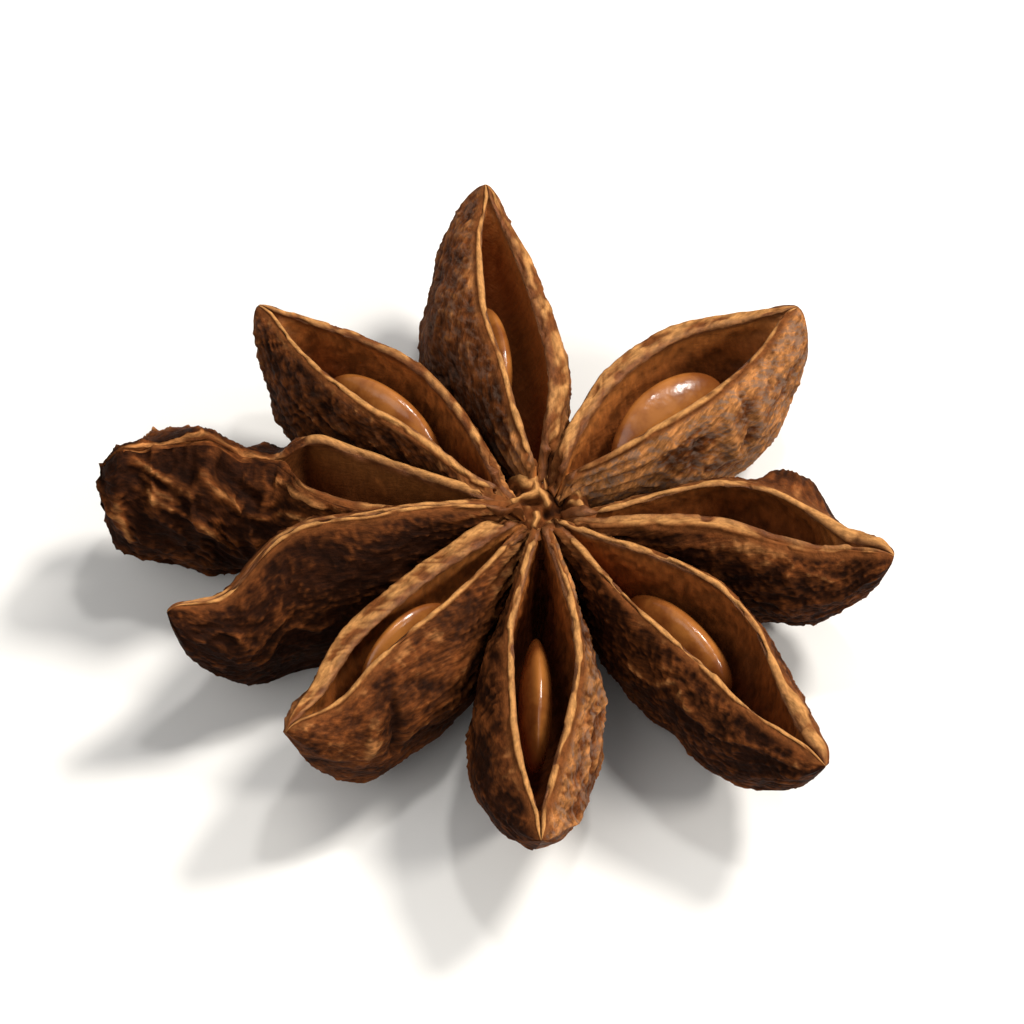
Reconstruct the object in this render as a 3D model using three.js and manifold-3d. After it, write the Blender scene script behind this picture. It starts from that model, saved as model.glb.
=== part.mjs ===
// A dried star anise pod: nine boat-shaped carpels joined round a short column, most of them split
// open along the top, with a flat glossy seed in six of them. Millimetres, +Z up. The pod lies on
// the keels of its carpels, with the origin under the middle of its box.

import * as THREE from 'three';
import { mergeVertices } from 'three/addons/utils/BufferGeometryUtils.js';
import Module from 'manifold-3d';

const wasm = await Module();
wasm.setup();

// ---- Driving dimensions ----

// The column's axis, measured from the middle of the pod's box
const COLUMN_AT = { x: 2.028, y: 0.486 };

// Heights and thicknesses in millimetres
const RIM_HEIGHT = 7.5;       // lips where they leave the column
const CRATER_DEPTH = 0.9;     // how far the lips dip round the column's head
const CRATER_RADIUS = 2.2;
const LIP_WIDTH = 0.72;       // thickness of a lip at mid length
const LIP_ENDS = 0.32;        // its thickness at the column and towards the tip
const LIP_CREST = 0.3;        // rounding of a lip's top
const WALL = 0.75;            // wall of a carpel beside its seed
const FLOOR = 1.3;            // wall under the seed
const SUTURE = 0.1;           // half width of the closed seam beyond an opening
const SEAM_DEPTH = 0.3;
const KEEL_RISE = 2.3;        // height of the keels at the column
const FOOT = 0.12;            // how much of each keel is worn flat
const WRINKLE = 0.16;         // relief of the outer walls
const FOLD = 0.32;            // relief of the dried carpel's folds
const LIP_SINK = 0.55;        // how far a lip's inner end sinks, and over what length
const LIP_SINK_OVER = 0.7;
const FIRST_STATION = 0.92;   // where a carpel starts, inside the column

// Neighbouring walls overlap near the column and stand apart beyond it
const FUSED = { overlap: 0.25, apart: 0.15, from: 2.5, to: 5.5, rounding: 0.45, inner: 0.58 };

// Shares of a carpel's length
const KEEL_REST = 0.38;       // where its keel touches the ground
const BEAK_START = 0.82;      // where its lips turn up to the beak
const LEAN_START = 0.08;
const LEAN_FULL = 0.45;
const DRIED_START = 0.6;      // where the dried carpel is swollen and folded
const BLUFF_START = 0.95;     // where the dried carpel starts to round off
const TIP_START = 0.955;      // where the other carpels do
const BLUFF_TOP = 0.2;        // share of that rounding that is above a carpel's middle
const OFFSET_START = 0.55;    // where a carpel's offset at the column begins
const OFFSET_FULL = 0.12;     // and where it is whole
const DIP_END = 0.62;         // how far out a sagging lip is back at its height
const SWING_END = 0.8;        // where a carpel's swing aside starts to go back
const SWING_OVER = 1.1;
const FLARE_START = 0.68;     // where a flaring lip begins to widen towards the tip
const FLARE_FULL = 0.9;
// How sharply a carpel swells to its belly: 1 is a gentle arch
const BELLY_PEAK = 2.4;

// The dried carpel's uneven top: s along the carpel, and millimetres up
const DRIED_TOP = [
  [0.5, 0], [0.62, -1], [0.68, -1], [0.77, 0.7], [0.9, 0.5], [0.96, 1.2], [1, 1],
];

// Place and size of a lump on a wall: s along the carpel, v down from the lip
const LUMP = { s: 0.69, v: 0.14, long: 0.1, deep: 0.16, clear: 0.1 };

// Shares of the opening's length over which the hollow deepens and closes
const HOLLOW_OPEN = 0.12;
const HOLLOW_CLOSE = 0.84;

// One entry for each carpel, anticlockwise from above. azimuth: the way its tip points, and roll: its
// lean about the lips, both in degrees. length, belly (half width), gap (half width of the opening),
// bend (of the middle to its left), crown (of the lips), beak, tip (half width), end (depth at the
// tip), offset (to its left at the column) and drop (of the lips behind the beak): millimetres. full
// (where the belly is widest), opens and shuts: shares of the length. rise and taper: how slowly the
// opening widens and narrows. bow: how late the keel climbs. swings: how far the outer part moves to its
// left, and over which shares of the length. lips: widths of the left and the right lip against
// LIP_WIDTH, flares: how much wider they get towards the tip, dips: how far they sag, and starts: how
// far from the column's axis they begin. room: what a carpel takes from its left and right neighbour.
// shrivel: how far its outer half has dried shut. lump: height of a lump on its left wall.
const CARPELS = [
  { azimuth: 40.2, length: 16.3, belly: 3.15, full: 0.58, gap: 1.9, roll: 15, bend: 0.6, crown: 0.9,
    beak: 0.6, tip: 0.7, end: 1, opens: 0.1, shuts: 0.95, rise: 1.15, taper: 1.1, bow: 4.8,
    lips: [1.6, 0.5], starts: [1.9, 1.9],
    seed: { at: 0.5, sink: 0.9, aside: 0.3, turn: -25, size: 1, thin: 1 } },
  { azimuth: 98, length: 17.8, belly: 2.95, full: 0.5, gap: 1.15, roll: -24, bend: -0.3, crown: 1,
    beak: 0.3, tip: 0.7, end: 1, opens: 0.1, shuts: 0.95, rise: 1.15, taper: 1.1, bow: 3.6,
    swings: [[0.35, 0.35, 0.6]], lips: [0.5, 1.5], starts: [2, 2.6],
    seed: { at: 0.5, sink: 1.4, aside: -0.1, turn: 0, size: 0.96, thin: 0.8 } },
  { azimuth: 141.6, length: 17.3, belly: 3.15, full: 0.52, gap: 1.72, roll: -17, bend: 0, crown: 0.9,
    beak: 0.4, tip: 0.6, end: 1, opens: 0.12, shuts: 0.95, rise: 1, taper: 1.1, bow: 3.6,
    offset: 1, lips: [0.5, 0.8], starts: [2, 2.6],
    seed: { at: 0.53, sink: 0.6, aside: -0.35, turn: 0, size: 1, thin: 1 } },
  { azimuth: 175.5, length: 21, belly: 2.9, full: 0.6, gap: 1.95, roll: -18, bend: -0.2, crown: 0.7,
    beak: 0, tip: 1.6, end: 4.8, opens: 0.12, shuts: 0.62, rise: 1.3, taper: 1.1, bow: 6,
    offset: 0.5, swings: [[-1.2, 0.42, 0.6]], dips: [1.2, 0], shrivel: 1, lips: [0.5, 0.8],
    starts: [1.9, 1.7] },
  { azimuth: 200.4, length: 19, belly: 2.7, full: 0.5, gap: 0, roll: -21, bend: -1.05, crown: 2.1,
    beak: 1.5, tip: 0.5, end: 2.2, opens: 0.15, shuts: 0.9, rise: 1, taper: 1, bow: 4.2,
    offset: 0.5, swings: [[-0.8, 0.42, 0.62], [1.15, 0.65, 0.86]], drop: 0.8, lips: [0.4, 0.35],
    room: [-0.4, 0], starts: [1.7, 1.7] },
  { azimuth: 227, length: 17.8, belly: 2.9, full: 0.6, gap: 0.65, roll: -17, bend: -0.1, crown: 0.8,
    beak: 1, tip: 0.55, end: 1.4, opens: 0.12, shuts: 0.95, rise: 1.4, taper: 1.1, bow: 4.8,
    offset: 0.3, swings: [[0.3, 0.68, 0.85]], dips: [0.6, 0], lips: [0.45, 1.9], room: [0, 0.4],
    starts: [1.6, 1.9],
    seed: { at: 0.54, sink: 0.2, aside: -0.45, turn: 0, size: 0.85, thin: 0.8 } },
  { azimuth: 270.3, length: 18.6, belly: 3.15, full: 0.62, gap: 1.35, roll: 6, bend: 0.1, crown: 0.9,
    beak: 0.3, tip: 0.5, end: 0.9, opens: 0.08, shuts: 0.94, rise: 1.35, taper: 1.45, bow: 3.8,
    swings: [[-0.25, 0.5, 0.8]], lips: [0.6, 0.5], starts: [1.7, 1.7],
    seed: { at: 0.52, sink: 1.5, aside: 0, turn: 0, size: 1.02, thin: 0.65 } },
  { azimuth: 313, length: 19.9, belly: 3.2, full: 0.55, gap: 1.8, roll: 10, bend: 0.75, crown: 1,
    beak: 0.4, tip: 0.55, end: 0.9, opens: 0.1, shuts: 0.94, rise: 1.45, taper: 1.55, bow: 3.8,
    offset: -0.6, swings: [[-0.45, 0.6, 0.8]], flares: [0.85, 0], lips: [0.5, 0.4], starts: [1.6, 1.2],
    seed: { at: 0.47, sink: 1.4, aside: 0.3, turn: 0, size: 1, thin: 1 } },
  { azimuth: 348.9, length: 17.2, belly: 3, full: 0.55, gap: 1.05, roll: 10, bend: 1.15, crown: 0.8,
    beak: 0.8, tip: 0.7, end: 1.2, opens: 0.12, shuts: 0.86, rise: 1.9, taper: 1, bow: 3.6,
    offset: -1.4, swings: [[-0.35, 0.6, 0.84]], flares: [0.7, 0], lump: 1.4, lips: [0.55, 1.2],
    starts: [2, 1.8] },
];

// A seed's length along the carpel, depth and thickness, and the shares by which it narrows towards
// its inner end and towards its upper and lower edges
const SEED = { length: 6.9, depth: 4.5, thickness: 2.4, pointed: 0.22, edged: 0.3 };

// The column and the stub of stalk under it: radius and height, from the bottom to the top
const COLUMN_PROFILE = [
  [0, 0.5], [1.05, 0.55], [1.15, 1], [1, 1.8], [1.4, 2.5], [2.1, 3.2], [2.25, 5],
  [2.1, 6.2], [1.4, 6.5], [0, 6.45],
];

// The knob in the middle of the column's head: its radius, its height and its place
const KNOB = { radius: 0.75, height: 0.6, x: -0.5, y: -0.5, z: 6.5 };

const STATIONS = 20;          // cross-sections along a carpel
const EASING = 0.35;          // how much closer they are at its ends
const OUTER_POINTS = 7;       // from keel to lip on one side of a cross-section
const CREST_POINTS = 2;       // over the lip
const INNER_POINTS = 5;       // from lip to the bottom of the hollow
const COLUMN_SIDES = 24;
const SEED_SIDES = 16;
const SEED_RINGS = 9;
const KNOB_SIDES = 12;
const KNOB_RINGS = 8;

const DEGREE = Math.PI / 180;

// ---- Small functions ----

const clamp01 = (x) => Math.min(1, Math.max(0, x));

function smooth(from, to, x) {
  const t = clamp01((x - from) / (to - from));
  return t * t * (3 - 2 * t);
}

// 0 at both ends and 1 at its top, steeper where the power is lower
function hump(t, rise, fall) {
  const u = clamp01(t);
  const top = rise / (rise + fall);
  return (u ** rise * (1 - u) ** fall) / (top ** rise * (1 - top) ** fall);
}

// The smaller of two values, rounded over the given width where they meet
const softMin = (a, b, width) => 0.5 * (a + b - Math.hypot(a - b, width));

// ---- A carpel ----

// The dried carpel's uneven top, eased from knot to knot
function driedTop(s) {
  const steps = DRIED_TOP.slice(1).map(([stop, high], i) => {
    const [start, low] = DRIED_TOP[i];
    return (high - low) * smooth(start, stop, s);
  });
  return steps.reduce((sum, step) => sum + step, 0);
}

function lipHeight(carpel, s) {
  const x = carpel.length * s;
  const crater = CRATER_DEPTH * (1 - smooth(0, CRATER_RADIUS, x));
  const crown = carpel.crown * hump(s, 1, 1.3) - carpel.drop * hump(s, 5, 1);
  const beak = carpel.beak * smooth(BEAK_START, 1, s);
  return RIM_HEIGHT - crater + crown + beak + carpel.shrivel * driedTop(s);
}

// Share of its depth and width that a carpel keeps: a quarter of an ellipse closes its end
function keptShare(carpel, s) {
  const start = carpel.shrivel ? BLUFF_START : TIP_START;
  const over = Math.max(0, s - start) / (1 - start);
  return Math.sqrt(Math.max(0.02, 1 - over * over));
}

// How far to its left a carpel's lips lie: an even bend, an offset at the column, and swings
function sway(carpel, s) {
  const steps = carpel.swings.map(([amount, start, end]) => amount * smooth(start, end, s));
  const swing = steps.reduce((sum, step) => sum + step, 0) * smooth(SWING_OVER, SWING_END, s);
  return carpel.bend * hump(s, 1, 1) + carpel.offset * smooth(OFFSET_START, OFFSET_FULL, s) + swing;
}

function keelHeight(carpel, s) {
  if (s < KEEL_REST) return KEEL_RISE * (1 - s / KEEL_REST) ** 2;
  const top = lipHeight(carpel, 1) - carpel.end;
  return top * ((s - KEEL_REST) / (1 - KEEL_REST)) ** carpel.bow;
}

// Half of a wall's section, with v from 0 at the lip to 1 at the bottom: the lip's half width falls
// away to nothing, and a swell is added that is full at BELLY_AT, so that the wall is belly wide there
const BELLY_AT = 0.5 ** (1 / 0.8);
const lipFall = (v) => Math.max(0, 1 - v ** 1.7) ** 0.65;
const bellySwell = (v) => Math.sin(Math.PI * v ** 0.8);

function wallWidth(v, atLip, belly) {
  const swell = Math.max(0, belly - lipFall(BELLY_AT) * atLip);
  return atLip * lipFall(v) + swell * bellySwell(v);
}

// Uneven relief of an outer wall: two crossing waves and the dried carpel's folds
function wrinkle(carpel, s, v, side) {
  const phase = carpel.azimuth * 0.37 + side;
  const waves = Math.sin(17 * s + 5 * v + phase) * Math.sin(9 * v - 6 * s + 2 * phase);
  const folds = Math.sin(24 * s - 7 * v + phase) * smooth(DRIED_START - 0.1, DRIED_START, s);
  return WRINKLE * waves * smooth(0.1, 0.35, s) + FOLD * carpel.shrivel * folds;
}

// A lump on the left wall, clear of the lip
function lump(carpel, s, v) {
  const off = Math.hypot((s - LUMP.s) / LUMP.long, (v - LUMP.v) / LUMP.deep);
  return carpel.lump * Math.exp(-(off ** 4)) * smooth(0, LUMP.clear, v);
}

// Points of half a cross-section, from the keel over the lip to the bottom of the hollow. which is 0
// for the left half and 1 for the right. y is the distance from the middle plane, and inside runs from
// 0 on the outer skin to 1 on the inner one.
function halfSection(carpel, s, which) {
  const kept = keptShare(carpel, s);
  const fullDepth = lipHeight(carpel, s) - keelHeight(carpel, s);
  const start = carpel.starts[which];
  const sunkEnd = LIP_SINK * smooth(start, start - LIP_SINK_OVER, carpel.length * s);
  const sunk = sunkEnd + carpel.dips[which] * hump(s / DIP_END, 1, 1);
  const top = lipHeight(carpel, s) - BLUFF_TOP * fullDepth * (1 - kept) - sunk;
  const depth = fullDepth * kept - sunk;
  const swell = hump(s, BELLY_PEAK * carpel.full, BELLY_PEAK * (1 - carpel.full));
  const belly = kept * (carpel.tip * s + (carpel.belly - carpel.tip * s) * swell);
  const reach = (s - carpel.opens) / (carpel.shuts - carpel.opens);
  const gap = kept * (SUTURE * (1 - 0.8 * s ** 8) + carpel.gap * hump(reach, carpel.rise, carpel.taper));
  const wider = LIP_WIDTH * carpel.lips[which] - LIP_ENDS;
  const flare = carpel.flares[which] * smooth(FLARE_START, FLARE_FULL, s);
  const lip = kept * (LIP_ENDS + wider * hump(s, 0.5, 0.7) + flare) * (1 - 0.65 * s ** 10);
  const crest = LIP_CREST * kept * Math.min(1.2, Math.max(0.3, lip / LIP_WIDTH));
  const open = carpel.gap > 0 ? smooth(0, HOLLOW_OPEN, reach) * (1 - smooth(HOLLOW_CLOSE, 1, reach)) : 0;
  const hollow = kept * (SEAM_DEPTH + open * Math.max(0, depth - FLOOR - SEAM_DEPTH));
  const inner = gap + open * Math.max(0, belly - WALL - gap);
  const points = [];
  for (let i = 0; i < OUTER_POINTS; i++) {
    const v = Math.cos((i / (OUTER_POINTS - 1)) * Math.PI / 2);
    points.push({ y: wallWidth(v, gap + lip, belly), z: top - depth * v, v, inside: 0 });
  }
  for (let i = 1; i <= CREST_POINTS; i++) {
    const turn = (i / (CREST_POINTS + 1)) * Math.PI;
    const y = gap + lip * (0.5 + 0.5 * Math.cos(turn));
    points.push({ y, z: top + crest * Math.sin(turn), v: 0, inside: i / (CREST_POINTS + 1) });
  }
  for (let i = 0; i < INNER_POINTS; i++) {
    const v = Math.sin((i / (INNER_POINTS - 1)) * Math.PI / 2);
    points.push({ y: wallWidth(v, gap, inner), z: top - hollow * v, v, inside: 1 });
  }
  return points;
}

const leanAngle = (carpel, s) => carpel.roll * DEGREE * smooth(LEAN_START, LEAN_FULL, s);

// How far to its left a carpel's middle lies at a height, from its sway and its lean
function drift(carpel, x, z) {
  const s = Math.min(x / carpel.length, 1);
  return sway(carpel, s) + (z - lipHeight(carpel, s)) * Math.sin(leanAngle(carpel, s));
}

// How far a wall may reach towards the next carpel: halfway, and fused to it near the column
function wallLimit(carpel, next, turn, x, z) {
  const halfway = x * Math.tan((turn / 2) * DEGREE);
  const aside = (drift(carpel, x, z) + drift(next, x, z)) / 2;
  const fused = FUSED.overlap - (FUSED.overlap + FUSED.apart) * smooth(FUSED.from, FUSED.to, x);
  return { halfway: halfway + fused, aside };
}

// Leans a point of a cross-section over with its carpel, about the middle of the lips
function lean(carpel, s, across, z) {
  const angle = leanAngle(carpel, s);
  const top = lipHeight(carpel, s);
  const down = z - top;
  const y = across * Math.cos(angle) + down * Math.sin(angle) + sway(carpel, s);
  return [carpel.length * s, y, top + down * Math.cos(angle) - across * Math.sin(angle)];
}

// A point of a cross-section in its place, kept off the neighbouring carpels and above the ground
function placePoint(carpel, s, point, side) {
  const skin = point.inside === 0 ? Math.sqrt(hump(point.v, 1, 1)) : 0;
  const swollen = side > 0 && point.inside === 0 ? lump(carpel, s, point.v) : 0;
  const relief = skin * wrinkle(carpel, s, point.v, side) + swollen;
  const [x, leaned, z] = lean(carpel, s, side * (point.y + relief), point.z);
  const thickness = point.inside * FUSED.inner;
  const left = wallLimit(carpel, carpel.left, carpel.leftTurn, x, z);
  const right = wallLimit(carpel, carpel.right, carpel.rightTurn, x, z);
  const [leftRoom, rightRoom] = carpel.room.map((extra) => extra - thickness);
  let y = softMin(leaned, left.halfway + left.aside + leftRoom, FUSED.rounding);
  y = -softMin(-y, right.halfway - right.aside + rightRoom, FUSED.rounding);
  return new THREE.Vector3(x, y, Math.max(0, z - FOOT));
}

function crossSection(carpel, s) {
  const left = halfSection(carpel, s, 0).map((point) => placePoint(carpel, s, point, 1));
  const right = halfSection(carpel, s, 1).map((point) => placePoint(carpel, s, point, -1));
  return [...left, ...right.slice(1, -1).reverse()];
}

// A closed skin over a row of closed rings with as many points each
function loft(rings) {
  const count = rings[0].length;
  const middle = (ring) => ring.reduce((sum, p) => sum.add(p), new THREE.Vector3()).divideScalar(count);
  const points = [...rings.flat(), middle(rings[0]), middle(rings.at(-1))];
  const first = points.length - 2;
  const last = points.length - 1;
  const end = (rings.length - 1) * count;
  const index = [];
  for (let j = 0; j < count; j++) {
    const k = (j + 1) % count;
    for (let i = 0; i < rings.length - 1; i++) {
      const a = i * count + j;
      const b = i * count + k;
      index.push(a, b, a + count, b, b + count, a + count);
    }
    index.push(first, k, j);
    index.push(last, end + j, end + k);
  }
  const geometry = new THREE.BufferGeometry().setFromPoints(points);
  geometry.setIndex(index);
  return geometry;
}

function carpelGeometry(carpel) {
  const start = FIRST_STATION / carpel.length;
  const rings = [];
  for (let i = 0; i <= STATIONS; i++) {
    const t = i / STATIONS;
    const eased = t + EASING * ((1 - Math.cos(Math.PI * t)) / 2 - t);
    rings.push(crossSection(carpel, start + (1 - start) * eased));
  }
  return loft(rings).rotateZ(carpel.azimuth * DEGREE);
}

// ---- A seed: a flattened egg, a little pointed where it was joined to the carpel ----

function seedGeometry(carpel) {
  const { at, sink, aside, turn, size, thin } = carpel.seed;
  const geometry = new THREE.SphereGeometry(1, SEED_SIDES, SEED_RINGS);
  const position = geometry.attributes.position;
  const spot = new THREE.Vector3();
  for (let i = 0; i < position.count; i++) {
    spot.fromBufferAttribute(position, i);
    const slim = 1 - SEED.pointed * Math.max(0, -spot.y) ** 2;
    const edge = 1 - SEED.edged * spot.z * spot.z;
    const x = spot.y * SEED.length / 2;
    const y = spot.x * slim * edge * thin * SEED.thickness / 2;
    const z = -spot.z * slim * SEED.depth / 2;
    position.setXYZ(i, x, y, z);
  }
  const [x, y, z] = lean(carpel, at, aside, lipHeight(carpel, at) - sink - SEED.depth / 2);
  geometry.scale(size, size, size);
  geometry.rotateX(turn * DEGREE - leanAngle(carpel, at));
  geometry.translate(x, y, z - FOOT);
  return geometry.rotateZ(carpel.azimuth * DEGREE);
}

// ---- Solids ----

function weld(geometry) {
  const bare = new THREE.BufferGeometry();
  bare.setAttribute('position', geometry.attributes.position.clone());
  bare.setIndex(geometry.index.clone());
  return mergeVertices(bare, 1e-5);
}

function toSolid(geometry) {
  const welded = weld(geometry);
  const vertProperties = new Float32Array(welded.attributes.position.array);
  const triVerts = new Uint32Array(welded.index.array);
  return new wasm.Manifold(new wasm.Mesh({ numProp: 3, vertProperties, triVerts }));
}

function toGeometry(solid) {
  const mesh = solid.getMesh();
  const geometry = new THREE.BufferGeometry();
  geometry.setAttribute('position', new THREE.BufferAttribute(mesh.vertProperties, 3));
  geometry.setIndex(new THREE.BufferAttribute(mesh.triVerts, 1));
  return geometry;
}

function columnGeometry() {
  const profile = COLUMN_PROFILE.map(([radius, height]) => new THREE.Vector2(radius, height));
  return new THREE.LatheGeometry(profile, COLUMN_SIDES).rotateX(Math.PI / 2);
}

function knobGeometry() {
  const geometry = new THREE.SphereGeometry(1, KNOB_SIDES, KNOB_RINGS).rotateX(Math.PI / 2);
  return geometry.scale(KNOB.radius, KNOB.radius, KNOB.height).translate(KNOB.x, KNOB.y, KNOB.z);
}

// A carpel without these is straight, even and whole
const PLAIN = { offset: 0, swings: [], drop: 0, flares: [0, 0], room: [0, 0], dips: [0, 0],
  shrivel: 0, lump: 0 };

// Each carpel knows its neighbours, and the angle to each in degrees
const turnBetween = (from, to) => (to.azimuth - from.azimuth + 360) % 360;
for (const carpel of CARPELS) Object.assign(carpel, { ...PLAIN, ...carpel });
CARPELS.forEach((carpel, i) => {
  carpel.left = CARPELS[(i + 1) % CARPELS.length];
  carpel.right = CARPELS.at(i - 1);
  carpel.leftTurn = turnBetween(carpel, carpel.left);
  carpel.rightTurn = turnBetween(carpel.right, carpel);
});

// ---- The scene graph ----

const husk = new THREE.MeshStandardMaterial({ color: 0x5a3319, roughness: 0.72, metalness: 0 });
const seedCoat = new THREE.MeshStandardMaterial({ color: 0x8a4f24, roughness: 0.2, metalness: 0 });

const whole = new THREE.Group();
whole.position.set(COLUMN_AT.x, COLUMN_AT.y, 0);

let pod = toSolid(columnGeometry()).add(toSolid(knobGeometry()));
for (const carpel of CARPELS) pod = pod.add(toSolid(carpelGeometry(carpel)));
const podMesh = new THREE.Mesh(toGeometry(pod), husk);
podMesh.name = 'pod';
whole.add(podMesh);

CARPELS.filter((carpel) => carpel.seed).forEach((carpel, i) => {
  const seed = new THREE.Mesh(weld(seedGeometry(carpel)), seedCoat.clone());
  seed.name = `seed_${i + 1}`;
  whole.add(seed);
});

const group = new THREE.Group();
group.add(whole);
export default group;
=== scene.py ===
"""A dried star anise pod: nine woody, boat-shaped carpels round a short column, with glossy seeds.

Lengths in the shape functions are millimetres, and MM turns them into metres when a mesh is made.
"""

import math

import bpy
import numpy as np
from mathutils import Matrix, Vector


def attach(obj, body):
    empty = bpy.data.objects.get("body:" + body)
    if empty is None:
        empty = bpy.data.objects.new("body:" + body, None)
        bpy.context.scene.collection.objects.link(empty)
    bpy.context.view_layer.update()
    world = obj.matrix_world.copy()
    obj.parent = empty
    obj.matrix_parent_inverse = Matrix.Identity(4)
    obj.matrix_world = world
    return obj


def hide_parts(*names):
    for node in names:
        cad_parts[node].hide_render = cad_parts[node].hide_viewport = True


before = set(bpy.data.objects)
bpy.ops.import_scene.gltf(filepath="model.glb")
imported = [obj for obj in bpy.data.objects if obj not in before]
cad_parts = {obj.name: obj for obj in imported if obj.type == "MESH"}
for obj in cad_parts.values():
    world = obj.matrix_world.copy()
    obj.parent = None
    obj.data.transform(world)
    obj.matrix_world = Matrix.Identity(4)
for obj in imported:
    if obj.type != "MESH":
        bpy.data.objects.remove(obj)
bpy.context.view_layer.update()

MM = 0.001
DEGREE = math.pi / 180

# ---- The pod's dimensions, as its solids have them ----

COLUMN_AT = (2.028, 0.486)    # the column's axis
RIM_HEIGHT = 7.5              # lips where they leave the column
CRATER_DEPTH = 0.9            # how far the lips dip round the column's head
CRATER_RADIUS = 2.2
LIP_WIDTH = 0.72              # thickness of a lip at mid length
LIP_ENDS = 0.32               # and at the column and towards the tip
LIP_CREST = 0.3               # rounding of a lip's top
LIP_SINK = 0.55               # how far a lip's inner end sinks, and over what length
LIP_SINK_OVER = 0.7
WALL = 0.75                   # wall of a carpel beside its seed
FLOOR_WALL = 1.3              # wall under the seed
SUTURE = 0.1                  # half width of the closed seam beyond an opening
FAINT_SEAM = 0.3              # a seam that is closed all along, against that width and depth
SEAM_DEPTH = 0.3
SEAM_NARROWS = 0.8            # share of the seam's width that is gone at the tip
LIP_NARROWS = 0.65            # share of the lip's width that is gone at the tip
KEEL_RISE = 2.3               # height of the keels at the column
FOOT = 0.12                   # how much of each keel is worn flat
WAVES = 0.16                  # broad unevenness of the outer walls
GAP_WANDERS = 0.12            # how far an opening's edge wanders, and over what length
GAP_WANDERS_OVER = 1.9
LIP_VARIES = 0.2              # share by which a lip's width varies, and over what length
LIP_VARIES_OVER = 2.0
FIRST_STATION = 0.92          # where a carpel starts, inside the column

FUSED = {"overlap": 0.25, "apart": 0.15, "from": 2.5, "to": 5.5, "rounding": 0.45, "inner": 0.58}

# Shares of a carpel's length
KEEL_REST = 0.38
BEAK_START = 0.82
LEAN_START = 0.08
LEAN_FULL = 0.45
DRIED_START = 0.6
SEALED_FROM = 0.54            # where the dried carpel's opening closes
SEALED_TO = 0.62
CRUMPLED_FROM = 0.52          # where its crumpled skin begins, and where it is whole
CRUMPLED_TO = 0.62
BLUFF_START = 0.95
BLUFF_TOP = 0.2
TIP_ROUNDING = 0.955
BELLY_PEAK = 2.4
DRIED_TOP = [(0.5, 0), (0.62, -1.0), (0.68, -1.0), (0.77, 0.7), (0.9, 0.5), (0.96, 1.2), (1, 1.0)]
OFFSET_START = 0.55           # where a carpel's offset at the column begins, and where it is whole
OFFSET_FULL = 0.12
DIP_END = 0.62                # how far out a sagging lip is back at its height
FLARE_START = 0.68            # where a flaring lip widens towards the tip
FLARE_FULL = 0.9
HOLLOW_OPEN = 0.12
HOLLOW_CLOSE = 0.84
BELLY_AT = 0.5 ** (1 / 0.8)

LUMP = {"s": 0.69, "v": 0.14, "long": 0.1, "deep": 0.16, "clear": 0.1}
SEED = {"length": 6.9, "depth": 4.5, "thickness": 2.4, "pointed": 0.22, "edged": 0.3, "seam": 0.003}


def carpel(name, azimuth, length, belly, full, gap, roll, bend, crown, beak, tip, end, opens, shuts, bow,
           lips, rise=1.0, taper=1.1, offset=0.0, swings=(), drop=0.0, flares=(0.0, 0.0), dips=(0.0, 0.0),
           room=(0.0, 0.0), shrivel=0.0, lump=0.0, starts=(1.6, 1.6), seed=None):
    """One carpel's sizes. lips are the widths of its left and right lip against the usual one, flares
    how much wider they get towards the tip, dips how far they sag, and starts the distances from the
    column's axis at which they begin. swings move the outer part aside, each by an amount between two
    shares of the length, and room is what it takes from its left and right neighbour."""
    return dict(name=name, azimuth=azimuth, length=length, belly=belly, full=full, gap=gap, roll=roll,
                bend=bend, crown=crown, beak=beak, tip=tip, end=end, opens=opens, shuts=shuts, bow=bow,
                lips=lips, rise=rise, taper=taper, offset=offset, swings=swings, drop=drop, flares=flares,
                dips=dips, room=room, shrivel=shrivel, lump=lump, starts=starts, seed=seed)


def seed_place(at, sink, aside, turn, size, thin=1.0):
    """A seed's place: its share of the carpel's length, how far it is sunk below the lips and aside of
    their middle, its turn in degrees, and its size and thickness against the usual seed."""
    return dict(at=at, sink=sink, aside=aside, turn=turn, size=size, thin=thin)


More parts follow.
